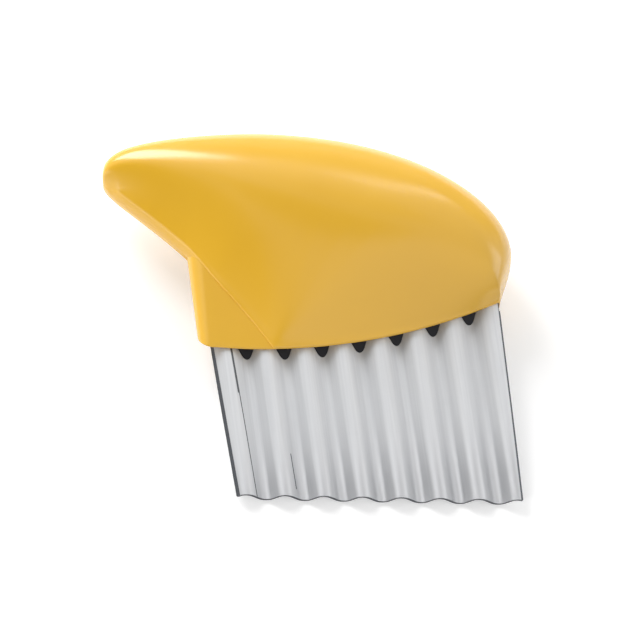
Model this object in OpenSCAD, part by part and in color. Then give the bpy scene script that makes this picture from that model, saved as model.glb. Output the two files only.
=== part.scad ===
// Crinkle cutter: a corrugated steel blade held between two moulded handle shells.
// Each piece is drawn in the handle's own frame: x along the handle, y up the corrugations,
// z across the thickness, with the parting plane of the shells at z = 0.
// lie_down() then lays the cutter on its rear side on a table, cutting edge along X.

/* [Blade] */
// Length of the cutting edge
edge_length = 73.6; // [60:0.2:80]
// Slant of the cutting edge across the corrugations, degrees
edge_slant = 8.5; // [0:0.5:14]
// Thickness of the steel sheet
sheet = 0.8; // [0.5:0.1:1.2]
// Distance from ridge to ridge
wave_pitch = 9.9; // [8:0.1:14]
// Height of the wave, measured on the middle of the sheet
wave_depth = 2.9; // [1.6:0.1:3.4]
// Slope of the straight flanks between the rounded ridges, degrees
flank_angle = 44; // [40:1:50]
// Offset of the valley nearest the middle of the blade
wave_shift = 0.6; // [-5:0.1:5]
// How far each side edge leans in toward the cutting edge, degrees
side_taper = 2.1; // [0:0.1:5]
// Height of the tang's top edge above the middle of the cutting edge
tang_top = 61; // [57:0.5:64]
// Right end of the tang, inside the shoulder
tang_right = 34; // [30:0.5:35]

/* [Handle outline] */
// End of the tail
tail_tip = [-60.8, 99.4]; // [-70:0.1:110]
// Pull of the outline up and down from the end of the tail
tail_pull = [6.9, 6.3]; // [2:0.1:12]
// Highest point of the handle
crown = [-39.2, 108.8]; // [-60:0.1:120]
// Pull of the outline back and forward from the highest point
crown_pull = [17.6, 51]; // [5:0.5:60]
// Foremost point of the handle
nose = [43.9, 65.7]; // [35:0.1:75]
// Pull of the outline up and down from the foremost point
nose_pull = [18.7, 4.9]; // [2:0.5:30]
// Lowest point of the lip
lip_low = [-5.4, 43.9]; // [-10:0.1:50]
// Radius of the lip's arc
lip_radius = 146; // [100:1:250]
// Front end of the lip
lip_front = 38.7; // [36:0.1:42]
// Place along the lip where the leaf's lower edge ends
crease_foot = -22; // [-28:0.5:-18]
// Pull point of the leaf's lower edge
crease_pull = [-42.3, 83.3]; // [-50:0.1:90]
// Rear border of the heel
heel_back = -41.2; // [-44:0.1:-40]
// Radius of the heel's lower corner on the front and the rear half
heel_corner = [2, 9]; // [1:0.5:12]

/* [Handle thickness] */
// Half of the handle's greatest thickness
half_width = 15; // [11:0.5:18]
// Place of the greatest thickness along the leaf, as a share of its length
widest = 0.6; // [0.4:0.01:0.75]
// Height of the greatest thickness in a section, as a share of its height
shoulder = 0.64; // [0.5:0.01:0.75]
// Half of the leaf's thickness at the lip
edge_half = 3.2; // [3:0.1:5]
// Half of the leaf's thickness where the tail's lower edge meets the heel
tail_half = 4.5; // [4:0.1:8]
// Step from the leaf down to the heel
heel_step = 0.6; // [0.4:0.1:0.8]
// How far the underside of the lip rises from its edge to the parting plane
undercut = 1.3; // [0:0.1:2]
// Spread of the corner at the foot of the crease over the side of the leaf
corner_spread = 0.35; // [0:0.05:0.5]
// Rounding of the leaf's lower edge
edge_round = 0.7; // [0.3:0.1:1]
// Wall of the shells
wall = 2.2; // [1.6:0.1:3]
// Height of the solid band that grips the blade at the lip
lip_band = 5; // [3:0.5:8]

/* [Joints] */
// Pin diameter
pin_d = 4; // [3:0.1:5]
// Length of a pin
pin_length = 8.4; // [7.6:0.1:9]
// Distance of the pins below the tang's top edge
pin_drop = 5; // [4:0.5:7]
// Wall of the bosses round the pins
boss_wall = 1.8; // [1:0.1:3]
// Rib thickness inside the shells
rib = 1.6; // [1:0.1:2.4]
// How deep the ridges nest in the lip
nest = 1.6; // [0.3:0.1:1.8]
// Clearance round the blade
blade_clear = 0.1; // [0.05:0.05:0.3]
// Start and end of a seal's sloping face, from the lip up and down the blade
seal_face = [1.2, -1.6]; // [-2:0.1:2]
// Length of a seal above the lip
seal_length = 7; // [4:0.5:10]
// Gap between a seal and what it lies on
seal_gap = 0.03; // [0.01:0.01:0.1]
// Clearance of the pin in the blade's holes, on the diameter
hole_clear = 0.3; // [0.1:0.1:0.6]
// Clearance at the ends of the pins
end_clear = 0.15; // [0.1:0.05:0.4]

/* [Hidden] */
$fn = 64;

// Wave of tangent arcs and straight flanks
quarter = wave_pitch / 4;
arc_r = (quarter * sin(flank_angle) - wave_depth / 2 * cos(flank_angle)) / (1 - cos(flank_angle));
ridge_z = wave_depth / 2 + sheet / 2;
slot_half = ridge_z - nest;
waves = 5;
pin_y = tang_top - pin_drop;
pins_x = [for (k = [-1.5, 0.5, 2.5]) wave_shift + k * wave_pitch];

// Curves
function bezier(p, t) = pow(1 - t, 3) * p[0] + 3 * pow(1 - t, 2) * t * p[1]
    + 3 * (1 - t) * t * t * p[2] + pow(t, 3) * p[3];
function curve(p, n) = [for (i = [0 : n - 1]) bezier(p, i / n)];
function lip_y(x) = lip_low.y + lip_radius - sqrt(pow(lip_radius, 2) - pow(x - lip_low.x, 2));
function smooth(a, b, t) = let (u = min(1, max(0, (t - a) / (b - a)))) u * u * (3 - 2 * u);

// Outline: the top from the tail over the nose, the lower line along the crease and the lip
chin = [0.3, 1.6];
chin_pull = [1.2, 3.6];
lip_steps = 60;
lip_end = [lip_front, lip_y(lip_front)];
crease_end = [crease_foot, lip_y(crease_foot)];
nose_end = lip_end + chin;
top_line = concat(
    curve([tail_tip, tail_tip + [0, tail_pull[0]], crown - [crown_pull[0], 0], crown], 40),
    curve([crown, crown + [crown_pull[1], 0], nose + [0, nose_pull[0]], nose], 80),
    curve([nose, nose - [0, nose_pull[1]], nose_end + chin_pull, nose_end], 20), [nose_end]);
low_line = concat(curve([tail_tip, tail_tip - [0, tail_pull[1]], crease_pull, crease_end], 70),
    [for (i = [0 : lip_steps]) let (x = crease_foot + (lip_front - crease_foot) * i / lip_steps)
        [x, lip_y(x)]]);

// Points at equal shares of a line's length
function lengths(p) = [for (i = 0, s = 0; i < len(p);
    s = s + (i + 1 < len(p) ? norm(p[i + 1] - p[i]) : 0), i = i + 1) s];
top_run = lengths(top_line);
low_run = lengths(low_line);
function table(p, run, axis) = [for (i = [0 : len(p) - 1]) [run[i] / run[len(run) - 1], p[i][axis]]];
top_table = [table(top_line, top_run, 0), table(top_line, top_run, 1)];
low_table = [table(low_line, low_run, 0), table(low_line, low_run, 1)];
function along(tables, f) = [lookup(f, tables[0]), lookup(f, tables[1])];

// Mean of the lower line over a stretch, which softens its corner higher up the leaf
mean_side = 3;
function total(p, i = 0) = i < len(p) - 1 ? p[i] + total(p, i + 1) : p[i];
function low_mean(t, d) = d <= 0 ? along(low_table, t)
    : total([for (k = [-mean_side : mean_side]) along(low_table, t + d * k / mean_side)])
        / (2 * mean_side + 1);

// Shares of the leaf's length over which its lower edge thins, turns crisp and gets its undercut
thinning = [0.24, 0.52];
sharpening = [0.22, 0.36];
hollowing = [0.2, 0.3];
// Roundness of the leaf's ends and of its top, and pull of its side from the edge and from the shoulder
end_power = 2.3;
front_share = 0.99;
top_power = 0.92;
side_pull = [0.45, 0.3];
// Most that the edge takes of a section's width and height
edge_share = 0.6;
round_share = [0.98, 0.4];
undercut_share = 0.3;
shoulder_least = 0.1;

// Section of half the leaf at share t: [height from the lower edge, distance from the parting plane]
function width_at(t) = t < widest
    ? half_width * pow(1 - pow(1 - t / widest, end_power), 1 / end_power)
    : edge_half + (half_width - edge_half) * sqrt(1 - pow((t - widest) / (1 - widest), 2) * front_share);
function section(t, h, n) = let (
    w = width_at(t),
    e = min(tail_half + (edge_half - tail_half) * smooth(thinning[0], thinning[1], t), edge_share * w),
    full = e * round_share[0],
    r = min(h * round_share[1], full + (edge_round - full) * smooth(sharpening[0], sharpening[1], t)),
    s = max(shoulder * h, r + shoulder_least * h),
    side = [[r, e], [r, e] + side_pull[0] * [s - r, w - e], [s - side_pull[1] * (s - r), w], [s, w]])
    concat([[min(undercut, undercut_share * h) * smooth(hollowing[0], hollowing[1], t), 0]],
        [for (a = [0 : 22.5 : 67.5]) [r * (1 - cos(a)), e - r + r * sin(a)]],
        curve(side, n),
        [for (i = [0 : n]) let (a = 90 * i / n)
            [s + (h - s) * pow(sin(a), top_power), i == n ? 0 : w * pow(cos(a), top_power)]]);

// A rib of the leaf in space, or of its hollow when inset > 0, which ends above the solid band at the lip
banding = [0.2, 0.5];
function rib_points(t, n, inset) = let (
    top = along(top_table, t),
    h = norm(top - along(low_table, t)),
    base = inset == 0 ? 0 : wall + (lip_band - wall) * smooth(banding[0], banding[1], t),
    kh = (h - base - inset) / h,
    kw = inset == 0 ? 1 : (width_at(t) - inset) / width_at(t))
    [for (q = section(t, h, n)) let (
        low = low_mean(t, min(corner_spread * q[0] / h, t, 1 - t)),
        v = low + (top - low) * (base + q[0] * kh) / h) [v.x, v.y, q[1] * kw]];

// Closed skin over ribs of equal point counts
module skin(ribs) {
    m = len(ribs[0]);
    n = len(ribs);
    points = [for (r = ribs) for (p = r) p];
    sides = [for (i = [0 : n - 2]) for (j = [0 : m - 1]) let (
        a = i * m + j, b = i * m + (j + 1) % m, c = a + m, d = b + m)
        each [[a, b, d], [a, d, c]]];
    first = [for (j = [1 : m - 2]) [0, j + 1, j]];
    last = [for (j = [1 : m - 2]) [(n - 1) * m, (n - 1) * m + j, (n - 1) * m + j + 1]];
    polyhedron(points = points, faces = concat(sides, first, last));
}

leaf_count = 44;
core_count = 26;
core_reach = 0.44;
leaf_ribs = [for (i = [1 : leaf_count]) rib_points(0.5 - 0.5 * cos(180 * i / leaf_count), 8, 0)];
core_ribs = [for (i = [0 : core_count]) rib_points(0.5 - core_reach * cos(180 * i / core_count), 5, wall)];

module leaf() skin(leaf_ribs);
module core() skin(core_ribs);

// Heel under the leaf's lower edge, thicker toward the tail, with a rounded rear border
heel_top = 75;
heel_lap = 4;
heel_round = 0.35;
heel_turn = 5.4;
heel_least = 1;
heel_slope = (heel_top - crease_end.y) / (heel_back - crease_foot);
function heel_half(y) = edge_half - heel_step
    + (tail_half - edge_half) * (y - crease_end.y) / (heel_top - crease_end.y);
function heel_z(y, d) = let (r = heel_half(y)) d < r ? sqrt(r * r - pow(r - d, 2)) : r;
function heel_low(d, r) = lip_y(heel_back + max(d, r)) + (d < r ? r - sqrt(r * r - pow(r - d, 2)) : 0);
function heel_rib(d, corner) = let (
    x = heel_back + d,
    low = heel_low(d, corner),
    high = max(min(heel_top, crease_end.y + (x - crease_foot - heel_lap) * heel_slope),
        low + heel_least),
    z = heel_z(low, d))
    concat([[x, low + min(undercut, z / 2), 0], [x, low, z - min(heel_round, z / 3)]],
        [for (i = [0 : 4]) let (y = low + heel_round + (high - low - heel_round) * i / 4)
            [x, y, heel_z(y, d)]],
        [[x, high, 0]]);
heel_reach = crease_foot + heel_lap - heel_back;
module heel(corner) skin(concat(
    [for (a = [8 : 12 : 80]) heel_rib(heel_turn * (1 - cos(a)), corner)],
    [for (i = [0 : 8]) heel_rib(heel_turn + (heel_reach - heel_turn) * i / 8, corner)]));

// Wave in the plane across the corrugations: its middle line moved by off, and the sheet
arc_steps = 12;
function wave_line(off) = [for (k = [-waves : waves]) for (side = [-1, 1])
    for (i = [0 : arc_steps]) let (
        r = arc_r + side * off,
        a = flank_angle * (2 * i / arc_steps - 1))
        [wave_shift + (k + (side > 0 ? 0.5 : 0)) * wave_pitch + r * sin(a),
            side * (wave_depth / 2 - arc_r + r * cos(a))]];
function back(p) = [for (i = [len(p) - 1 : -1 : 0]) p[i]];
module wave() polygon(concat(wave_line(sheet / 2), back(wave_line(-sheet / 2))));

// A prism along y from the plane across the corrugations
module up_y(from, to) translate([0, to, 0]) rotate([90, 0, 0]) linear_extrude(to - from) children();

// Blade outline: slanted cutting edge, tapered sides, tang with a shoulder under the nose
edge_half_run = edge_length / 2 * cos(edge_slant);
edge_rise = edge_length / 2 * sin(edge_slant);
side_in = tan(side_taper);
function left_x(y) = -edge_half_run - (y - edge_rise) * side_in;
function right_x(y) = edge_half_run + (y + edge_rise) * side_in;
tang_left = left_x(lip_y(left_x(lip_low.y)));
tang_chamfer = [6, 3];
shoulder_gap = 0.05;
blade_outline = [
    [-edge_half_run, edge_rise], [edge_half_run, -edge_rise],
    [right_x(lip_end.y), lip_y(right_x(lip_end.y)) - shoulder_gap],
    [tang_right, lip_y(tang_right) - shoulder_gap],
    [tang_right, tang_top - tang_chamfer[1]], [tang_right - tang_chamfer[1], tang_top],
    [tang_left + tang_chamfer[0], tang_top], [tang_left, tang_top - tang_chamfer[0]],
    [tang_left, lip_y(tang_left)]];

module blade_body() {
    difference() {
        intersection() {
            up_y(-edge_rise - 1, tang_top + 1) wave();
            linear_extrude(4 * wave_depth, center = true) polygon(blade_outline);
        }
        for (x = pins_x) translate([x, pin_y, 0])
            cylinder(d = pin_d + hole_clear, h = 4 * wave_depth, center = true);
    }
}

// Slot for the tang in the half at z > 0: nests for the ridges, straight lands across the valleys
function nest_line(side) = [for (k = [-waves : waves - 1]) let (
    x = wave_shift + (k + (side > 0 ? 0.5 : 0)) * wave_pitch,
    r = arc_r + sheet / 2 + blade_clear,
    z = wave_depth / 2 - arc_r,
    reach = r * sin(flank_angle) + (z + r * cos(flank_angle) - slot_half) / tan(flank_angle))
    each concat([[x - reach, slot_half]],
        [for (i = [0 : arc_steps]) let (a = flank_angle * (2 * i / arc_steps - 1))
            [x + r * sin(a), z + r * cos(a)]],
        [[x + reach, slot_half]])];
slot_over = 4;
module slot(side) {
    line = nest_line(side);
    intersection() {
        up_y(lip_low.y - slot_over, tang_top + blade_clear)
            polygon(concat(line, [[line[len(line) - 1].x, -1], [line[0].x, -1]]));
        translate([tang_left - blade_clear, 0, -slot_over])
            cube([tang_right - tang_left + 2 * blade_clear, 2 * tang_top, half_width]);
    }
}

// Black seals that fill the valleys between the sheet and the straight lands, on one side of the blade
function seal_line() = let (
    r = arc_r - sheet / 2 - seal_gap,
    floor_z = arc_r - wave_depth / 2,
    flank_top = slot_half - seal_gap,
    flank_x = r * sin(flank_angle) + (flank_top - floor_z + r * cos(flank_angle)) / tan(flank_angle))
    concat([[-flank_x, flank_top]],
        [for (i = [0 : arc_steps]) let (a = flank_angle * (2 * i / arc_steps - 1))
            [r * sin(a), floor_z - r * cos(a)]],
        [[flank_x, flank_top]]);
seal_under = 4;
seal_slope = atan2(slot_half + ridge_z - sheet, seal_face[0] - seal_face[1]);
module seal(x) difference() {
    translate([x, 0, 0]) up_y(lip_y(x) - seal_under, lip_y(x) + seal_length) polygon(seal_line());
    translate([x, lip_y(x) + seal_face[0], slot_half]) rotate([0, 0, asin((x - lip_low.x) / lip_radius)])
        rotate([seal_slope, 0, 0]) translate([-wave_pitch, -15, 0]) cube([2 * wave_pitch, 30, wave_pitch]);
}
seals_each_way = 3;
module seals() {
    for (k = [-seals_each_way : seals_each_way]) {
        seal(wave_shift + k * wave_pitch);
        mirror([0, 0, 1]) seal(wave_shift + (k - 0.5) * wave_pitch);
    }
}

// Ribs and bosses that stand in the hollow of a half
boss_d = pin_d + 2 * boss_wall;
boss_gap = 0.15;
stop_rib = [-30, 36];
stop_gap = [0.2, 0.4];
cross_ribs = [-22, 0, 20];
cross_gap = 0.8;
module inner_ribs() {
    translate([stop_rib[0], tang_top + stop_gap[0], stop_gap[1]])
        cube([stop_rib[1] - stop_rib[0], rib, half_width]);
    for (x = cross_ribs) translate([x - rib / 2, tang_top, cross_gap]) cube([rib, tang_top, half_width]);
    for (x = pins_x) translate([x, pin_y, ridge_z + boss_gap]) cylinder(d = boss_d, h = half_width);
}

module pin_bores() {
    for (x = pins_x) translate([x, pin_y, -1]) cylinder(d = pin_d, h = 1 + pin_length / 2 + end_clear);
}

module half_shell(side) {
    difference() {
        union() {
            leaf();
            heel(heel_corner[side > 0 ? 0 : 1]);
        }
        difference() {
            core();
            inner_ribs();
        }
        slot(side);
        pin_bores();
    }
}

// Placing: cutting edge along X, rear side down on the table, origin under the middle
function turned(p) = [p.x * cos(edge_slant) - p.y * sin(edge_slant),
    p.x * sin(edge_slant) + p.y * cos(edge_slant), p.z];
hull_points = [for (r = leaf_ribs) for (p = r) for (s = [1, -1]) turned([p.x, p.y, s * p.z])];
rest_angle = max([for (p = hull_points) atan2(-p.z - ridge_z, p.y)]);
function tipped(p) = [p.x, p.y * cos(rest_angle) - p.z * sin(rest_angle),
    p.y * sin(rest_angle) + p.z * cos(rest_angle)];
lying = [for (p = concat(hull_points, [for (x = [-1, 1]) for (z = [-1, 1])
    [x * edge_length / 2, 0, z * ridge_z]])) tipped(p)];
shift = -[(min([for (p = lying) p.x]) + max([for (p = lying) p.x])) / 2,
    (min([for (p = lying) p.y]) + max([for (p = lying) p.y])) / 2, min([for (p = lying) p.z])];
module lie_down() translate(shift) rotate([rest_angle, 0, 0]) rotate([0, 0, edge_slant]) children();

module front_shell() color("#E2B43C") lie_down() half_shell(1);
module rear_shell() color("#E2B43C") lie_down() mirror([0, 0, 1]) half_shell(-1);
module blade() color("#C9CBCD") lie_down() blade_body();
module valley_seals() color("#18181C") lie_down() seals();
module blade_pins() color("#9A9C9E") lie_down()
    for (x = pins_x) translate([x, pin_y, 0]) cylinder(d = pin_d, h = pin_length, center = true);

front_shell();
rear_shell();
blade();
valley_seals();
blade_pins();
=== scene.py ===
import bpy
import bmesh
import math
import numpy as np
from mathutils import Matrix, Quaternion, Vector


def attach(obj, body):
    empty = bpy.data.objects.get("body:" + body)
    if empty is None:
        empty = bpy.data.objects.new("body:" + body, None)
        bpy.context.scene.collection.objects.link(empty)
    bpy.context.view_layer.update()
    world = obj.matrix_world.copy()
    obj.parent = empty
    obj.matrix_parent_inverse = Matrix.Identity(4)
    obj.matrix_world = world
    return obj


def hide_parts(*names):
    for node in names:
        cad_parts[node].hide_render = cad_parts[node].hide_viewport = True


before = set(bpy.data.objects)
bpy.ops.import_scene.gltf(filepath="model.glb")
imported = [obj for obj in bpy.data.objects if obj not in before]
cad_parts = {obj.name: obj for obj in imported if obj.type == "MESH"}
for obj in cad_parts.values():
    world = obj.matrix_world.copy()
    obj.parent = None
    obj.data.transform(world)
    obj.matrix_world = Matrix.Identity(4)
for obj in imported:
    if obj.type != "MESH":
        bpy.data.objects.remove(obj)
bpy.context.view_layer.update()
scene = bpy.context.scene
scene.view_settings.view_transform = "Standard"
print("frame loaded:", sorted(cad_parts))

# the cutter is drawn in millimetres in the handle's own frame, then laid on the table
laying = {"edgeSlant": 8.5, "restAngle": 9.86136, "shift": (19.0878, -50.9403, 1.82267)}
slant, rest = (math.radians(laying[k]) for k in ("edgeSlant", "restAngle"))
layMatrix = (Matrix.Translation(laying["shift"])
             @ Matrix.Rotation(rest, 4, "X") @ Matrix.Rotation(slant, 4, "Z"))


def layDown(points):
    turn = np.array(layMatrix)
    return (np.asarray(points, float) @ turn[:3, :3].T + turn[:3, 3]) / 1000


def colour(hexText):
    parts = [int(hexText[i:i + 2], 16) / 255 for i in (1, 3, 5)]
    return [c / 12.92 if c <= 0.04045 else ((c + 0.055) / 1.055) ** 2.4 for c in parts] + [1]


def feed(tree, node, inputs):
    # an output is linked, a constant is set on the socket
    for key, value in inputs.items():
        if isinstance(value, bpy.types.NodeSocket):
            tree.links.new(value, node.inputs[key])
        else:
            node.inputs[key].default_value = value


def addNode(tree, kind, settings=None, inputs=None):
    node = tree.nodes.new(kind)
    for key, value in (settings or {}).items():
        setattr(node, key, value)
    feed(tree, node, inputs or {})
    return node


def newMaterial(name):
    material = bpy.data.materials.new(name)
    material.use_nodes = True
    tree = material.node_tree
    return material, tree, tree.nodes["Principled BSDF"]


# pattern sizes are in millimetres; noiseRange is the part of a noise that is spread over the roughness
noiseRange = (0.1, 0.9)

# ABS, moulded in a polished tool: clear even gloss, a slow sink-mark ripple and a faint orange peel
moulded = {"base": "#E3B02B", "deep": "#DEAA26", "mottle": 22, "rough": (0.19, 0.24),
           "peel": 0.9, "peelStrength": 0.12, "peelDepth": 0.02, "ior": 1.56, "shine": 0.8}


def mouldedAbs():
    material, tree, shader = newMaterial("moulded_abs_yellow")
    where = addNode(tree, "ShaderNodeTexCoord").outputs["Object"]
    slow = addNode(tree, "ShaderNodeMapping", {"vector_type": "TEXTURE"},
                   {"Vector": where, "Scale": [moulded["mottle"] / 1000] * 3})
    fine = addNode(tree, "ShaderNodeMapping", {"vector_type": "TEXTURE"},
                   {"Vector": where, "Scale": [moulded["peel"] / 1000] * 3})
    mottle = addNode(tree, "ShaderNodeTexNoise", None, {"Vector": slow.outputs[0], "Scale": 1, "Detail": 3})
    peel = addNode(tree, "ShaderNodeTexNoise", None, {"Vector": fine.outputs[0], "Scale": 1, "Detail": 1})
    tint = addNode(tree, "ShaderNodeMix", {"data_type": "RGBA"}, {
        0: mottle.outputs["Fac"], 6: colour(moulded["deep"]), 7: colour(moulded["base"])})
    gloss = addNode(tree, "ShaderNodeMapRange", {"interpolation_type": "SMOOTHSTEP"}, {
        0: mottle.outputs["Fac"], 1: noiseRange[0], 2: noiseRange[1],
        3: moulded["rough"][0], 4: moulded["rough"][1]})
    bump = addNode(tree, "ShaderNodeBump", None, {
        "Height": peel.outputs["Fac"], "Strength": moulded["peelStrength"],
        "Distance": moulded["peelDepth"] / 1000})
    feed(tree, shader, {
        "Base Color": tint.outputs[2],
        "Roughness": gloss.outputs[0],
        "Normal": bump.outputs[0],
        "IOR": moulded["ior"],
        "Specular IOR Level": moulded["shine"]})
    return material


# stainless sheet, rolled and polished along the corrugations: pale, with fine lines running up the blade,
# matt below the handle and shinier toward the cutting edge. Real polishing lines are finer than a pixel,
# so they are drawn 0.6 mm wide to show
steel = {"base": "#DCDDDE", "dull": "#CFD0D2", "shade": "#E1E1E2", "line": 0.6, "run": 40,
         "cloud": 12, "rough": (0.49, 0.54), "ground": (-52, -24), "matte": 0.32,
         "lineStrength": 0.05, "lineDepth": 0.01}


def polishedStainless():
    material, tree, shader = newMaterial("stainless_polished")
    where = addNode(tree, "ShaderNodeTexCoord").outputs["Object"]
    wide, long = steel["line"] / 1000, steel["run"] / 1000
    lines = addNode(tree, "ShaderNodeMapping", {"vector_type": "TEXTURE"},
                    {"Vector": where, "Rotation": (rest, 0, slant), "Scale": (wide, long, wide)})
    clouds = addNode(tree, "ShaderNodeMapping", {"vector_type": "TEXTURE"},
                     {"Vector": where, "Scale": [steel["cloud"] / 1000] * 3})
    grain = addNode(tree, "ShaderNodeTexNoise", None, {"Vector": lines.outputs[0], "Scale": 1, "Detail": 2})
    haze = addNode(tree, "ShaderNodeTexNoise", None, {"Vector": clouds.outputs[0], "Scale": 1, "Detail": 3})
    tint = addNode(tree, "ShaderNodeMix", {"data_type": "RGBA"}, {
        0: grain.outputs["Fac"], 6: colour(steel["dull"]), 7: colour(steel["base"])})
    gloss = addNode(tree, "ShaderNodeMapRange", None, {
        0: haze.outputs["Fac"], 1: noiseRange[0], 2: noiseRange[1],
        3: steel["rough"][0], 4: steel["rough"][1]})
    # toward the cutting edge the polish is finer, and the colour is darkened a little there as painted
    # shade; the height is counted in runs
    upBlade = addNode(tree, "ShaderNodeSeparateXYZ", None, {0: lines.outputs[0]})
    bottom, top = (height / steel["run"] for height in steel["ground"])
    matte = addNode(tree, "ShaderNodeMapRange", {"interpolation_type": "SMOOTHSTEP"}, {
        0: upBlade.outputs[1], 1: bottom, 2: top, 3: 0, 4: 1})
    rough = addNode(tree, "ShaderNodeMath", {"operation": "MULTIPLY_ADD"}, {
        0: matte.outputs[0], 1: steel["matte"], 2: gloss.outputs[0]})
    edgeShadeShare = addNode(tree, "ShaderNodeMath", {"operation": "SUBTRACT"}, {0: 1, 1: matte.outputs[0]})
    # painted shade: toward the cutting edge the colour is multiplied by the shade colour
    shaded = addNode(tree, "ShaderNodeMix", {"data_type": "RGBA", "blend_type": "MULTIPLY"}, {
        0: edgeShadeShare.outputs[0], 6: tint.outputs[2], 7: colour(steel["shade"])})
    bump = addNode(tree, "ShaderNodeBump", None, {
        "Height": grain.outputs["Fac"], "Strength": steel["lineStrength"],
        "Distance": steel["lineDepth"] / 1000})
    feed(tree, shader, {
        "Base Color": shaded.outputs[2],
        "Roughness": rough.outputs[0],
        "Normal": bump.outputs[0],
        "Metallic": 1})
    return material


# cut faces of the sheet, as the shear left them: dark grey and rough, so the blade's border reads as a
# line; the same finish paints the dark shade lines on the blade's face
shearedAndShadeLines = {"base": "#6A6C70", "dark": "#505257", "grain": 0.4, "rough": 0.5}

# drawn steel wire, cut to length: plain grey metal with faint marks
pinSteel = {"base": "#A4A6A8", "dark": "#8C8E91", "grain": 0.5, "rough": 0.35}


def plainSteel(name, finish):
    material, tree, shader = newMaterial(name)
    where = addNode(tree, "ShaderNodeTexCoord").outputs["Object"]
    grains = addNode(tree, "ShaderNodeMapping", {"vector_type": "TEXTURE"},
                     {"Vector": where, "Scale": [finish["grain"] / 1000] * 3})
    marks = addNode(tree, "ShaderNodeTexNoise", None,
                    {"Vector": grains.outputs[0], "Scale": 1, "Detail": 2})
    tint = addNode(tree, "ShaderNodeMix", {"data_type": "RGBA"}, {
        0: marks.outputs["Fac"], 6: colour(finish["dark"]), 7: colour(finish["base"])})
    feed(tree, shader, {"Base Color": tint.outputs[2], "Roughness": finish["rough"], "Metallic": 1})
    return material


# black pieces in the front valleys at the lip, put there as painted shade where the valleys show dark under
# the lip: deep black with a low sheen and small dimples
valleyDark = {"base": "#131318", "grey": "#1E1E25", "rough": 0.55, "shine": 0.3,
          "dimple": 0.6, "dimpleStrength": 0.3, "dimpleDepth": 0.05}


def valleyShadeFinish():
    material, tree, shader = newMaterial("black_valley_shade")
    where = addNode(tree, "ShaderNodeTexCoord").outputs["Object"]
    spots = addNode(tree, "ShaderNodeMapping", {"vector_type": "TEXTURE"},
                    {"Vector": where, "Scale": [valleyDark["dimple"] / 1000] * 3})
    dimples = addNode(tree, "ShaderNodeTexNoise", None,
                      {"Vector": spots.outputs[0], "Scale": 1, "Detail": 2})
    tint = addNode(tree, "ShaderNodeMix", {"data_type": "RGBA"}, {
        0: dimples.outputs["Fac"], 6: colour(valleyDark["base"]), 7: colour(valleyDark["grey"])})
    bump = addNode(tree, "ShaderNodeBump", None, {
        "Height": dimples.outputs["Fac"], "Strength": valleyDark["dimpleStrength"],
        "Distance": valleyDark["dimpleDepth"] / 1000})
    feed(tree, shader, {
        "Base Color": tint.outputs[2],
        "Roughness": valleyDark["rough"],
        "Specular IOR Level": valleyDark["shine"],
        "Normal": bump.outputs[0]})
    return material


yellowAbs = mouldedAbs()
valleyShade = valleyShadeFinish()
stainless = polishedStainless()
cutFaceAndShade = plainSteel("stainless_sheared_and_shade_lines", shearedAndShadeLines)
pinMetal = plainSteel("drawn_steel_wire", pinSteel)
print("materials made")

# corrugated sheet: rounded ridges joined by straight flanks
blade = {"edge": 73.6, "sheet": 0.8, "pitch": 9.9, "depth": 2.9, "flank": 44, "shift": 0.6, "taper": 2.1,
         "tangTop": 61, "tangLeft": -37.941, "tangRight": 38.25, "chamfers": (6, 3), "gap": 0.05,
         "across": 330, "up": 24, "waves": 5, "arcPoints": 25, "sharp": 40,
         # the last keys place painted dark shade lines on the blade's face: widths from its sides and, for
         # the short line, its reach above the cutting edge, in millimetres
         "leftLine": 0.85, "rightLine": 0.55, "valleyShadeLine": (4.65, 4.95),
         "shortShadeLine": (15.1, 15.35), "shortShadeReach": (2, 12)}
halfRun = blade["edge"] / 2 * math.cos(slant)
edgeRise = blade["edge"] / 2 * math.sin(slant)
sideIn = math.tan(math.radians(blade["taper"]))
flank = math.radians(blade["flank"])
quarter = blade["pitch"] / 4
arcR = (quarter * math.sin(flank) - blade["depth"] / 2 * math.cos(flank)) / (1 - math.cos(flank))


def waveCurve(off):
    # points of the wave, moved off its middle line by off
    x, z = [], []
    for k in range(-blade["waves"], blade["waves"] + 1):
        for side in (-1, 1):
            a = np.linspace(-flank, flank, blade["arcPoints"])
            r = arcR + side * off
            x.append(blade["shift"] + (k + (0.5 if side > 0 else 0)) * blade["pitch"] + r * np.sin(a))
            z.append(side * (blade["depth"] / 2 - arcR + r * np.cos(a)))
    return np.concatenate(x), np.concatenate(z)


# handle: a leaf-shaped cap with a thin heel under its lower edge, in two halves
leaf = {"tail": (-60.8, 99.4), "tailPull": (6.9, 6.3), "crown": (-39.2, 108.8), "crownPull": (17.6, 51),
        "nose": (43.9, 65.7), "nosePull": (18.7, 4.9), "noseFoot": (0.3, 1.6), "footPull": (1.2, 3.6),
        "lipLow": (-5.4, 43.9), "lipRadius": 146, "lipFront": 38.7,
        "creaseFoot": -22, "creasePull": (-42.3, 83.3), "spread": 0.35,
        "halfWidth": 15, "widest": 0.6, "fullness": 2.3, "noseRound": 0.99, "shoulder": 0.64,
        "edgeHalf": 3.2, "tailHalf": 4.5, "thinning": (0.52, 0.24),
        "edgeRound": 0.7, "rounding": (0.22, 0.36), "domePower": 0.92, "seam": 0.12,
        "undercut": 1.3, "lipFade": (0.2, 0.3), "nest": 1.6, "clear": 0.1, "rearCorner": 6,
        "linePoints": 201, "lipPoints": 301, "ribs": (110, 200), "sharp": 38}
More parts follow.
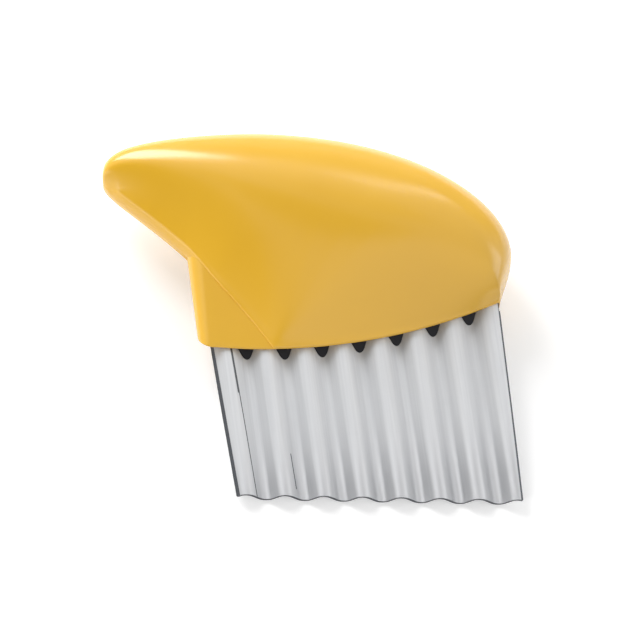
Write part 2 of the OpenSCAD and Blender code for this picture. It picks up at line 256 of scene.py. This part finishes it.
# its cross-section, in shares of its height and half widths, with angles in degrees
section = {"edgeMost": 0.6, "edgeFull": 0.98, "rimMost": 0.4, "rimClear": 0.1, "rimSteps": 8,
           "sidePull": 0.45, "shoulderPull": 0.3, "sideSteps": 22, "domeEnd": 87, "domePoints": 30,
           "crestAngles": (88.6, 89.4), "seamMost": 0.3, "seamDrop": 0.02, "seamIn": 0.6,
           "cutMost": 0.8, "riseMost": 0.6, "inner": (0.8, 0.7)}
heel = {"back": -41.2, "top": 75, "frontCorner": 4.5, "rearCorner": 13, "lap": 4, "step": 0.6,
        "round": 0.35, "bend": 5, "ribs": (16, 56), "rows": 14, "start": 0.002, "least": 0.4, "skin": 0.01}


def bezier(p, t):
    p = np.asarray(p, float)
    t = np.asarray(t, float)[:, None]
    return (1 - t) ** 3 * p[0] + 3 * (1 - t) ** 2 * t * p[1] + 3 * (1 - t) * t * t * p[2] + t ** 3 * p[3]


def lipY(x):
    low, radius = leaf["lipLow"], leaf["lipRadius"]
    return low[1] + radius - np.sqrt(radius ** 2 - (x - low[0]) ** 2)


def smooth(a, b, t):
    u = np.clip((t - a) / (b - a), 0, 1)
    return u * u * (3 - 2 * u)


tail, crown, nose = (np.array(leaf[k], float) for k in ("tail", "crown", "nose"))
lipEnd = np.array([leaf["lipFront"], lipY(leaf["lipFront"])])
creaseEnd = np.array([leaf["creaseFoot"], lipY(leaf["creaseFoot"])])
noseEnd = lipEnd + leaf["noseFoot"]
steps = np.linspace(0, 1, leaf["linePoints"])
topLine = np.concatenate([
    bezier([tail, tail + (0, leaf["tailPull"][0]), crown - (leaf["crownPull"][0], 0), crown], steps),
    bezier([crown, crown + (leaf["crownPull"][1], 0), nose + (0, leaf["nosePull"][0]), nose], steps)[1:],
    bezier([nose, nose - (0, leaf["nosePull"][1]), noseEnd + leaf["footPull"], noseEnd],
           steps)[1:]])
lipX = np.linspace(leaf["creaseFoot"], leaf["lipFront"], leaf["lipPoints"])
lowLine = np.concatenate([
    bezier([tail, tail - (0, leaf["tailPull"][1]), leaf["creasePull"], creaseEnd], steps)[:-1],
    np.stack([lipX, lipY(lipX)], 1)])


def runOf(line):
    return np.concatenate([[0], np.cumsum(np.linalg.norm(np.diff(line, axis=0), axis=1))])


topRun, lowRun = runOf(topLine), runOf(lowLine)
lipStart = lowRun[len(steps) - 1] / lowRun[-1]


def along(line, run, t):
    return np.array([np.interp(t * run[-1], run, line[:, 0]), np.interp(t * run[-1], run, line[:, 1])])


def lowMean(t, d):
    # mean of the lower line over a stretch, which softens its corner higher up the leaf
    if d <= 0:
        return along(lowLine, lowRun, t)
    return np.mean([along(lowLine, lowRun, t + d * k / 3) for k in range(-3, 4)], axis=0)


def widthAt(t):
    n, edge = leaf["fullness"], leaf["edgeHalf"]
    if t < leaf["widest"]:
        return leaf["halfWidth"] * (1 - (1 - t / leaf["widest"]) ** n) ** (1 / n)
    toNose = (t - leaf["widest"]) / (1 - leaf["widest"])
    return edge + (leaf["halfWidth"] - edge) * math.sqrt(1 - toNose ** 2 * leaf["noseRound"])


def leafSection(t, h):
    # height above the lower edge and distance from the parting plane, from the lower edge to the top:
    # w is the greatest half width and s its height, e the half width at the edge and r the edge's radius
    w = widthAt(t)
    edge = leaf["edgeHalf"] + (leaf["tailHalf"] - leaf["edgeHalf"]) * smooth(*leaf["thinning"], t)
    e = min(edge, section["edgeMost"] * w)
    full = section["edgeFull"] * e
    r = min(section["rimMost"] * h, full + (leaf["edgeRound"] - full) * smooth(*leaf["rounding"], t))
    s = max(leaf["shoulder"] * h, r + section["rimClear"] * h)
    # the round edge of the tail runs into the side without a groove
    turn = math.pi / 2 - math.atan2(w - e, s - r) * smooth(*leaf["rounding"][::-1], t)
    a = turn * np.arange(section["rimSteps"] + 1) / section["rimSteps"]
    rim = np.stack([r * (1 - np.cos(a)), e - r + r * np.sin(a)], 1)
    q, z = rim[-1]
    pull, hold = section["sidePull"], section["shoulderPull"]
    side = bezier([(q, z), (q + pull * (s - q), z + pull * (w - z)), (s - hold * (s - q), w), (s, w)],
                  np.linspace(0, 1, section["sideSteps"] + 1)[:-1])
    a = np.radians(np.concatenate([np.linspace(0, section["domeEnd"], section["domePoints"]),
                                   section["crestAngles"]]))
    power = leaf["domePower"]
    dome = np.stack([s + (h - s) * np.sin(a) ** power, w * np.cos(a) ** power], 1)
    seam = min(leaf["seam"], section["seamMost"] * w)
    groove = [(h - section["seamDrop"] * seam, seam * section["seamIn"]), (h - seam, 0)]
    return np.concatenate([rim[:-1], side, dome, groove])


def slotLine(side):
    # how far the blade's slot reaches from the parting plane: nests at the ridges, straight lands between
    x, z = waveCurve((blade["sheet"] / 2 + leaf["clear"]) * side)
    land = blade["depth"] / 2 + blade["sheet"] / 2 - leaf["nest"]
    order = np.argsort(x)
    return x[order], np.maximum(land, side * z[order])


def slotAt(x, y, line):
    inside = blade["tangLeft"] - leaf["clear"] < x < blade["tangRight"] + leaf["clear"]
    return float(np.interp(x, *line)) if inside and y < blade["tangTop"] + leaf["clear"] else 0.0


def skinOver(bm, ribs, flip):
    rows = [[bm.verts.new(p) for p in rib] for rib in ribs]
    m = len(rows[0])
    for a, b in zip(rows, rows[1:]):
        for j in range(m):
            k = (j + 1) % m
            quad = (a[j], a[k], b[k], b[j])
            bm.faces.new(quad[::-1] if flip else quad)
    bm.faces.new(rows[0] if flip else rows[0][::-1])
    bm.faces.new(rows[-1][::-1] if flip else rows[-1])


def cornerRise(d, radius):
    # how much a corner of this radius lifts an edge at the distance d from its end
    return radius - math.sqrt(radius ** 2 - max(radius - d, 0) ** 2)


def leafRibs(line, corner):
    over, lip = leaf["ribs"]
    shares = np.concatenate([0.5 - 0.5 * np.cos(np.pi * np.arange(1, over + 1) / over),
                             np.linspace(lipStart, 1, lip)])
    ribs = []
    for t in np.unique(np.round(shares, 7)):
        low, top = along(lowLine, lowRun, t), along(topLine, topRun, t)
        h = np.linalg.norm(top - low)
        up = (top - low) / h
        cut = min(cornerRise(leaf["lipFront"] - low[0], corner), section["cutMost"] * h)
        low = low + up * cut
        h -= cut
        slot = slotAt(low[0], low[1], line)
        points = []
        for q, z in leafSection(t, h):
            base = lowMean(t, min(leaf["spread"] * q / h, t, 1 - t)) + up * cut
            # the rim stands clear of the slot; above it the halves meet
            points.append((*(base + (top - base) * q / h), max(z, slot) if q < leaf["undercut"] else z))
        # underside of the lip, rising from its edge to the slot, or else to the parting plane
        rise = min(leaf["undercut"], section["riseMost"] * h) * smooth(*leaf["lipFade"], t)
        lift = rise * max(0, 1 - slot / points[0][2])
        roof = blade["tangTop"] + leaf["clear"]
        if slot:
            inner = [(low[0], roof, 0), (low[0], roof, slot), (low[0], low[1] + lift, slot)]
        else:
            inner = [(*(low + up * share * h), 0) for share in section["inner"]] + [(*(low + up * lift), 0)]
        ribs.append(np.array(points + inner))
    return ribs


def heelRibs(line, corner):
    ribs = []
    reach = leaf["creaseFoot"] + heel["lap"] - heel["back"]
    close, wide = heel["ribs"]
    spans = np.concatenate([heel["bend"] * (1 - np.cos(np.linspace(0, np.pi / 2, close))),
                            np.linspace(heel["bend"], reach, wide)[1:]])
    for d in spans:
        x = heel["back"] + max(d, heel["start"])
        low = float(lipY(heel["back"] + max(d, corner))) + cornerRise(d, corner)
        low += heel["step"] * smooth(reach - heel["lap"], reach, d)
        slope = (heel["top"] - creaseEnd[1]) / (heel["back"] - leaf["creaseFoot"])
        high = min(heel["top"], creaseEnd[1] + (x - leaf["creaseFoot"] - heel["lap"]) * slope)
        high = max(high, low + heel["least"])
        slot = slotAt(x, low, line)
        a = np.radians(np.arange(0, 90, 15))
        ups = np.concatenate([heel["round"] * (1 - np.cos(a)),
                              np.linspace(heel["round"], high - low, heel["rows"])])
        outer = []
        for q in ups:
            y = low + q
            r = leaf["edgeHalf"] - heel["step"] + (leaf["tailHalf"] - leaf["edgeHalf"]) * (
                y - creaseEnd[1]) / (heel["top"] - creaseEnd[1])
            z = r if d >= r else math.sqrt(max(r * r - (r - d) ** 2, 0))
            if q < heel["round"]:
                z -= heel["round"] - math.sqrt(heel["round"] ** 2 - (heel["round"] - q) ** 2)
            outer.append((x, y, max(z, slot + heel["skin"])))
        rise = min(leaf["undercut"], outer[0][2] / 2) * max(0, 1 - slot / outer[0][2])
        roof = min(high, blade["tangTop"] + leaf["clear"])
        ribs.append(np.array(outer + [(x, high, 0), (x, roof, 0), (x, roof, slot), (x, low + rise, slot)]))
    return ribs


# points nearer than this are one point, and edges shorter than this are dropped, in metres
weld = {"near": 2e-6, "thin": 1e-7}


def halfShell(name, side):
    line = slotLine(side)
    bm = bmesh.new()
    front, rear = (heel["frontCorner"], 0), (heel["rearCorner"], leaf["rearCorner"])
    heelCorner, noseCorner = front if side > 0 else rear
    for ribs in (leafRibs(line, noseCorner), heelRibs(line, heelCorner)):
        for rib in ribs:
            rib[:, 2] *= side
        skinOver(bm, [layDown(rib) for rib in ribs], side < 0)
    bmesh.ops.remove_doubles(bm, verts=bm.verts, dist=weld["near"])
    bmesh.ops.dissolve_degenerate(bm, edges=bm.edges, dist=weld["thin"])
    bmesh.ops.recalc_face_normals(bm, faces=bm.faces)
    mesh = bpy.data.meshes.new(name)
    bm.to_mesh(mesh)
    bm.free()
    mesh.shade_smooth()
    mesh.set_sharp_from_angle(angle=math.radians(leaf["sharp"]))
    mesh.materials.append(yellowAbs)
    piece = bpy.data.objects.new(name, mesh)
    scene.collection.objects.link(piece)
    print(name, len(mesh.polygons), "faces")
    return piece


handleFront = halfShell("handle_front", 1)
handleRear = halfShell("handle_rear", -1)


# the wave's formula, one step a line: result, operation and terms
waveSteps = (
    # u is -1 at the left edge and 1 at the right, v is 0 at the cutting edge and 1 at the top
    ("u", "MULTIPLY", "gridX", 2),
    ("v", "ADD", "gridY", 0.5),
    # y: from the slanted cutting edge up to the level top
    ("fall", "MULTIPLY", "u", "EdgeRise"),
    ("low", "MULTIPLY", "fall", -1),
    ("tall", "SUBTRACT", "Top", "low"),
    ("climb", "MULTIPLY", "v", "tall"),
    ("y", "ADD", "low", "climb"),
    # x: the sheet widens upward
    ("above", "SUBTRACT", "y", "low"),
    ("lean", "MULTIPLY", "above", "SideIn"),
    ("reach", "ADD", "HalfRun", "lean"),
    ("x", "MULTIPLY", "u", "reach"),
    # s: from minus a fourth of the pitch in a valley to a fourth on a ridge; d: how far from either
    ("half", "MULTIPLY", "Pitch", 0.5),
    ("fourth", "MULTIPLY", "Pitch", 0.25),
    ("phase", "SUBTRACT", "x", "Shift"),
    ("zigzag", "PINGPONG", "phase", "half"),
    ("s", "SUBTRACT", "zigzag", "fourth"),
    ("size", "ABSOLUTE", "s"),
    ("d", "SUBTRACT", "fourth", "size"),
    # rounded ridge or valley
    ("crest", "MULTIPLY", "Depth", 0.5),
    ("centre", "SUBTRACT", "crest", "Arc"),
    ("arcSquare", "POWER", "Arc", 2),
    ("dSquare", "POWER", "d", 2),
    ("difference", "SUBTRACT", "arcSquare", "dSquare"),
    ("chordSquare", "MAXIMUM", "difference", 0),
    ("chord", "SQRT", "chordSquare"),
    ("arc", "ADD", "centre", "chord"),
    # straight flank between them
    ("slope", "TANGENT", "Flank"),
    ("straight", "MULTIPLY", "size", "slope"),
    # z: whichever of the two holds here, up on a ridge and down in a valley
    ("sine", "SINE", "Flank"),
    ("arcReach", "MULTIPLY", "Arc", "sine"),
    ("onArc", "LESS_THAN", "d", "arcReach"),
    ("onFlank", "SUBTRACT", 1, "onArc"),
    ("arcPart", "MULTIPLY", "arc", "onArc"),
    ("flankPart", "MULTIPLY", "straight", "onFlank"),
    ("height", "ADD", "arcPart", "flankPart"),
    ("upOrDown", "SIGN", "s"),
    ("z", "MULTIPLY", "height", "upOrDown"))


def corrugationTree():
    # a grid bent into the wave
    tree = bpy.data.node_groups.new("corrugated_sheet", "GeometryNodeTree")
    tree.interface.new_socket("Geometry", in_out="INPUT", socket_type="NodeSocketGeometry")
    sizes = {"Pitch": blade["pitch"], "Depth": blade["depth"], "Flank": flank, "Arc": arcR,
             "Shift": blade["shift"], "HalfRun": halfRun, "EdgeRise": edgeRise, "SideIn": sideIn,
             "Top": blade["tangTop"]}
    sockets = {k: tree.interface.new_socket(k, in_out="INPUT", socket_type="NodeSocketFloat")
               for k in sizes}
    tree.interface.new_socket("Geometry", in_out="OUTPUT", socket_type="NodeSocketGeometry")
    given = addNode(tree, "NodeGroupInput").outputs
    grid = addNode(tree, "GeometryNodeMeshGrid", None, {
        "Size X": 1, "Size Y": 1, "Vertices X": blade["across"], "Vertices Y": blade["up"]})
    place = addNode(tree, "GeometryNodeInputPosition").outputs[0]
    spot = addNode(tree, "ShaderNodeSeparateXYZ", None, {0: place}).outputs
    known = {k: given[k] for k in sizes}
    known.update(gridX=spot[0], gridY=spot[1])
    for result, operation, *terms in waveSteps:
        inputs = {i: known.get(term, term) for i, term in enumerate(terms)}
        known[result] = addNode(tree, "ShaderNodeMath", {"operation": operation}, inputs).outputs[0]
    moved = addNode(tree, "ShaderNodeCombineXYZ", None, {0: known["x"], 1: known["y"], 2: known["z"]})
    bent = addNode(tree, "GeometryNodeSetPosition", None, {
        "Geometry": grid.outputs["Mesh"], "Position": moved.outputs[0]})
    real = addNode(tree, "GeometryNodeRealizeInstances", None, {0: bent.outputs[0]})
    dressed = addNode(tree, "GeometryNodeSetMaterial", None,
                      {"Geometry": real.outputs[0], "Material": stainless})
    addNode(tree, "NodeGroupOutput", None, {0: dressed.outputs[0]})
    return tree, {sockets[k].identifier: v for k, v in sizes.items()}


def bakeNodes(piece):
    # the evaluated result as a plain mesh
    result = bpy.data.meshes.new_from_object(piece.evaluated_get(bpy.context.evaluated_depsgraph_get()))
    piece.modifiers.clear()
    piece.data = result


def corrugatedBlade(name):
    piece = bpy.data.objects.new(name, bpy.data.meshes.new(name))
    scene.collection.objects.link(piece)
    tree, values = corrugationTree()
    modifier = piece.modifiers.new("corrugation", "NODES")
    modifier.node_group = tree
    for identifier, value in values.items():
        modifier[identifier] = value
    bakeNodes(piece)
    piece.data.materials.clear()
    for finish in (stainless, cutFaceAndShade):
        piece.data.materials.append(finish)
    bm = bmesh.new()
    bm.from_mesh(piece.data)
    # tang: cut back at both sides inside the handle and chamfered at its top corners
    left, right, top = blade["tangLeft"], blade["tangRight"], blade["tangTop"]
    leftCut, rightCut = blade["chamfers"]
    gone = []
    for face in bm.faces:
        c = face.calc_center_median()
        if c.y > lipY(c.x) - blade["gap"] and (
                c.x > right - max(0, c.y - top + rightCut) or c.x < left + max(0, c.y - top + leftCut)):
            gone.append(face)
    bmesh.ops.delete(bm, geom=gone, context="FACES")
    for face in bm.faces:
        # painted shade and reflection: dark bands on the face beside the cut sides, wider at the left; a
        # fine painted dark line in the first valley; a short one further in
        c = face.calc_center_median()
        lean = (c.y + edgeRise * (1 if c.x > 0 else -1)) * sideIn
        rim = halfRun + lean - abs(c.x)
        dark = rim < (blade["leftLine"] if c.x < 0 else blade["rightLine"])
        onValleyShadeLine = c.x < 0 and blade["valleyShadeLine"][0] < rim < blade["valleyShadeLine"][1]
        aboveEdge = c.y + edgeRise * c.x / halfRun
        onShortShadeLine = (c.x < 0 and blade["shortShadeLine"][0] < rim < blade["shortShadeLine"][1]
                  and blade["shortShadeReach"][0] < aboveEdge < blade["shortShadeReach"][1])
        face.material_index = int(dark or onValleyShadeLine or onShortShadeLine)
    for vert in bm.verts:
        vert.co = Vector(layDown([vert.co])[0])
    bmesh.ops.recalc_face_normals(bm, faces=bm.faces)
    bm.to_mesh(piece.data)
    bm.free()
    thick = piece.modifiers.new("sheet", "SOLIDIFY")
    thick.thickness = blade["sheet"] / 1000
    thick.offset = 0
    thick.use_even_offset = True
    thick.material_offset_rim = 1
    bakeNodes(piece)
    piece.data.shade_smooth()
    piece.data.set_sharp_from_angle(angle=math.radians(blade["sharp"]))
    print(name, len(piece.data.polygons), "faces")
    return piece


bladePiece = corrugatedBlade("blade_sheet")

for piece, node, slot in ((handleFront, "front_shell", "handle"), (handleRear, "rear_shell", "handle"),
                          (bladePiece, "blade", "blade")):
    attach(piece, "root")
    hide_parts(node)
# the valley_seals pieces are dressed black as painted shade, where the valleys show dark under the lip
for node, finish in (("blade_pins", pinMetal), ("valley_seals", valleyShade)):
    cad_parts[node].data.materials.clear()
    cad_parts[node].data.materials.append(finish)
print("pieces dressed")

# table: matt white, keeps the shadow, and lifted to white for the camera and for mirrors
table = {"colour": "#DEDEDE", "half": 0.45, "lift": 0.38, "below": 0.0002, "rough": 0.9, "shine": 0.1}


def whiteTable():
    material, tree, shader = newMaterial("white_table")
    rays = addNode(tree, "ShaderNodeLightPath").outputs
    seen = addNode(tree, "ShaderNodeMath", {"operation": "MAXIMUM"}, {
        0: rays["Is Camera Ray"], 1: rays["Is Glossy Ray"]})
    glow = addNode(tree, "ShaderNodeMath", {"operation": "MULTIPLY"},
                   {0: seen.outputs[0], 1: table["lift"]})
    feed(tree, shader, {
        "Base Color": colour(table["colour"]),
        "Roughness": table["rough"],
        "Specular IOR Level": table["shine"],
        "Emission Color": (1, 1, 1, 1),
        "Emission Strength": glow.outputs[0]})
    return material


half = table["half"]
floorMesh = bpy.data.meshes.new("table_top")
corners = [(-half, -half, 0), (half, -half, 0), (half, half, 0), (-half, half, 0)]
floorMesh.from_pydata(corners, [], [(0, 1, 2, 3)])
floorMesh.materials.append(whiteTable())
floor = bpy.data.objects.new("table_top", floorMesh)
floor.location.z = -table["below"]
scene.collection.objects.link(floor)

# room: pale grey all round and white to the camera. Mirrors also meet cards: white ones in an arch over the
# blade, in front and low at the sides; black ones for the dark band over the handle; a white one at the
# left for the light line along the crease and a grey one that keeps the heel deep
room = {"level": 0.39, "shown": 1.0, "mirrored": 0.55}
cards = {
    "white_front": {"toward": (0.05, -0.68, 0.73), "edge": 0.60, "middle": 0.97, "level": 1.06},
    "white_over_left": {"toward": (-0.50, 0.30, 0.81), "edge": 0.86, "middle": 0.97, "level": 0.86},
    "white_over": {"toward": (0.00, 0.27, 0.96), "edge": 0.86, "middle": 0.97, "level": 0.86},
    "white_over_right": {"toward": (0.50, 0.30, 0.81), "edge": 0.86, "middle": 0.97, "level": 0.86},
    "white_low_left": {"toward": (-0.93, 0.28, 0.22), "edge": 0.80, "middle": 0.95, "level": 0.75},
    "white_low_right": {"toward": (0.93, 0.18, 0.30), "edge": 0.80, "middle": 0.95, "level": 1.1},
    "black_over": {"toward": (-0.17, -0.12, 0.98), "edge": 0.972, "middle": 0.996, "level": 0.15},
    "black_left": {"toward": (-0.62, -0.48, 0.62), "edge": 0.82, "middle": 1.0, "level": 0.05},
    "white_left": {"toward": (-0.87, -0.46, 0.19), "edge": 0.965, "middle": 0.995, "level": 1.7},
    "grey_over": {"toward": (0.01, 0.18, 0.98), "edge": 0.982, "middle": 0.997, "level": 0.3},
}
world = bpy.data.worlds.new("studio")
scene.world = world
world.use_nodes = True
sky = world.node_tree
sky.nodes.clear()
rays = addNode(sky, "ShaderNodeLightPath").outputs
direction = addNode(sky, "ShaderNodeTexCoord").outputs["Generated"]
mirrored = room["mirrored"]
for card in cards.values():
    facing = addNode(sky, "ShaderNodeVectorMath", {"operation": "DOT_PRODUCT"},
                     {0: direction, 1: card["toward"]})
    share = addNode(sky, "ShaderNodeMapRange", {"interpolation_type": "SMOOTHSTEP"}, {
        0: facing.outputs["Value"], 1: card["edge"], 2: card["middle"], 3: 0, 4: 1})
    mirrored = addNode(sky, "ShaderNodeMix", {"data_type": "FLOAT"}, {
        0: share.outputs[0], 2: mirrored, 3: card["level"]}).outputs[0]
through = addNode(sky, "ShaderNodeMath", {"operation": "MAXIMUM"}, {
    0: rays["Is Glossy Ray"], 1: rays["Is Transmission Ray"]})
soft = addNode(sky, "ShaderNodeMix", {"data_type": "FLOAT"}, {
    0: through.outputs[0], 2: room["level"], 3: mirrored})
strength = addNode(sky, "ShaderNodeMix", {"data_type": "FLOAT"}, {
    0: rays["Is Camera Ray"], 2: soft.outputs[0], 3: room["shown"]})
background = addNode(sky, "ShaderNodeBackground", None,
                     {"Color": (1, 1, 1, 1), "Strength": strength.outputs[0]})
addNode(sky, "ShaderNodeOutputWorld", None, {0: background.outputs[0]})

# the key softbox makes the tail's highlight, the strip the streak toward the nose;
# the two fills light the top and the tail and are kept out of the reflections
lamps = {
    "key_softbox": {"at": (-0.41, 0.54, 0.59), "size": (0.42, 0.55), "watts": 5.4},
    "back_strip": {"at": (0.20, 0.56, 0.68), "size": (0.46, 0.035), "watts": 0.28, "roll": 61},
    "right_softbox": {"at": (0.75, -0.08, 0.45), "size": (0.75, 0.75), "watts": 2.7},
    "back_fill": {"at": (-0.20, 0.88, 0.24), "size": (1.0, 0.3), "watts": 6.5, "mirrored": False},
    "left_fill": {"at": (-1.20, -0.63, 0.26), "size": (0.5, 0.3), "watts": 10.2, "mirrored": False},
}
target = Vector((0.0, 0.005, 0.012))
for name, lamp in lamps.items():
    light = bpy.data.lights.new(name, "AREA")
    light.shape = "RECTANGLE"
    light.size, light.size_y = lamp["size"]
    light.energy = lamp["watts"]
    holder = bpy.data.objects.new(name, light)
    holder.location = lamp["at"]
    aimed = (target - Vector(lamp["at"])).to_track_quat("-Z", "Y")
    holder.rotation_euler = (aimed @ Quaternion((0, 0, 1), math.radians(lamp.get("roll", 0)))).to_euler()
    holder.visible_glossy = lamp.get("mirrored", True)
    scene.collection.objects.link(holder)

# camera: long lens, looking 25 degrees up from square to the blade, level within about a degree
shot = {"below": 25.0, "roll": 1.1, "span": 0.1682, "distance": 1.3, "sensor": 36, "near": 0.05,
        "aim": (0.00269, -0.00069, 0.01039)}
tilt = math.radians(shot["below"]) + rest
outward = Vector((0, -math.sin(tilt), math.cos(tilt)))
upward = Vector((0, math.cos(tilt), math.sin(tilt)))
rolled = math.radians(shot["roll"])
right = Vector((1, 0, 0)) * math.cos(rolled) + upward * math.sin(rolled)
above = upward * math.cos(rolled) - Vector((1, 0, 0)) * math.sin(rolled)
lens = bpy.data.cameras.new("camera")
lens.sensor_width = shot["sensor"]
lens.lens = shot["sensor"] * shot["distance"] / shot["span"]
lens.clip_start = shot["near"]
camera = bpy.data.objects.new("camera", lens)
place = Vector(shot["aim"]) + outward * shot["distance"]
camera.matrix_world = Matrix((
    (right.x, above.x, outward.x, place.x), (right.y, above.y, outward.y, place.y),
    (right.z, above.z, outward.z, place.z), (0, 0, 0, 1)))
scene.collection.objects.link(camera)
scene.camera = camera
print("stage, light and camera set")

bpy.context.view_layer.update()
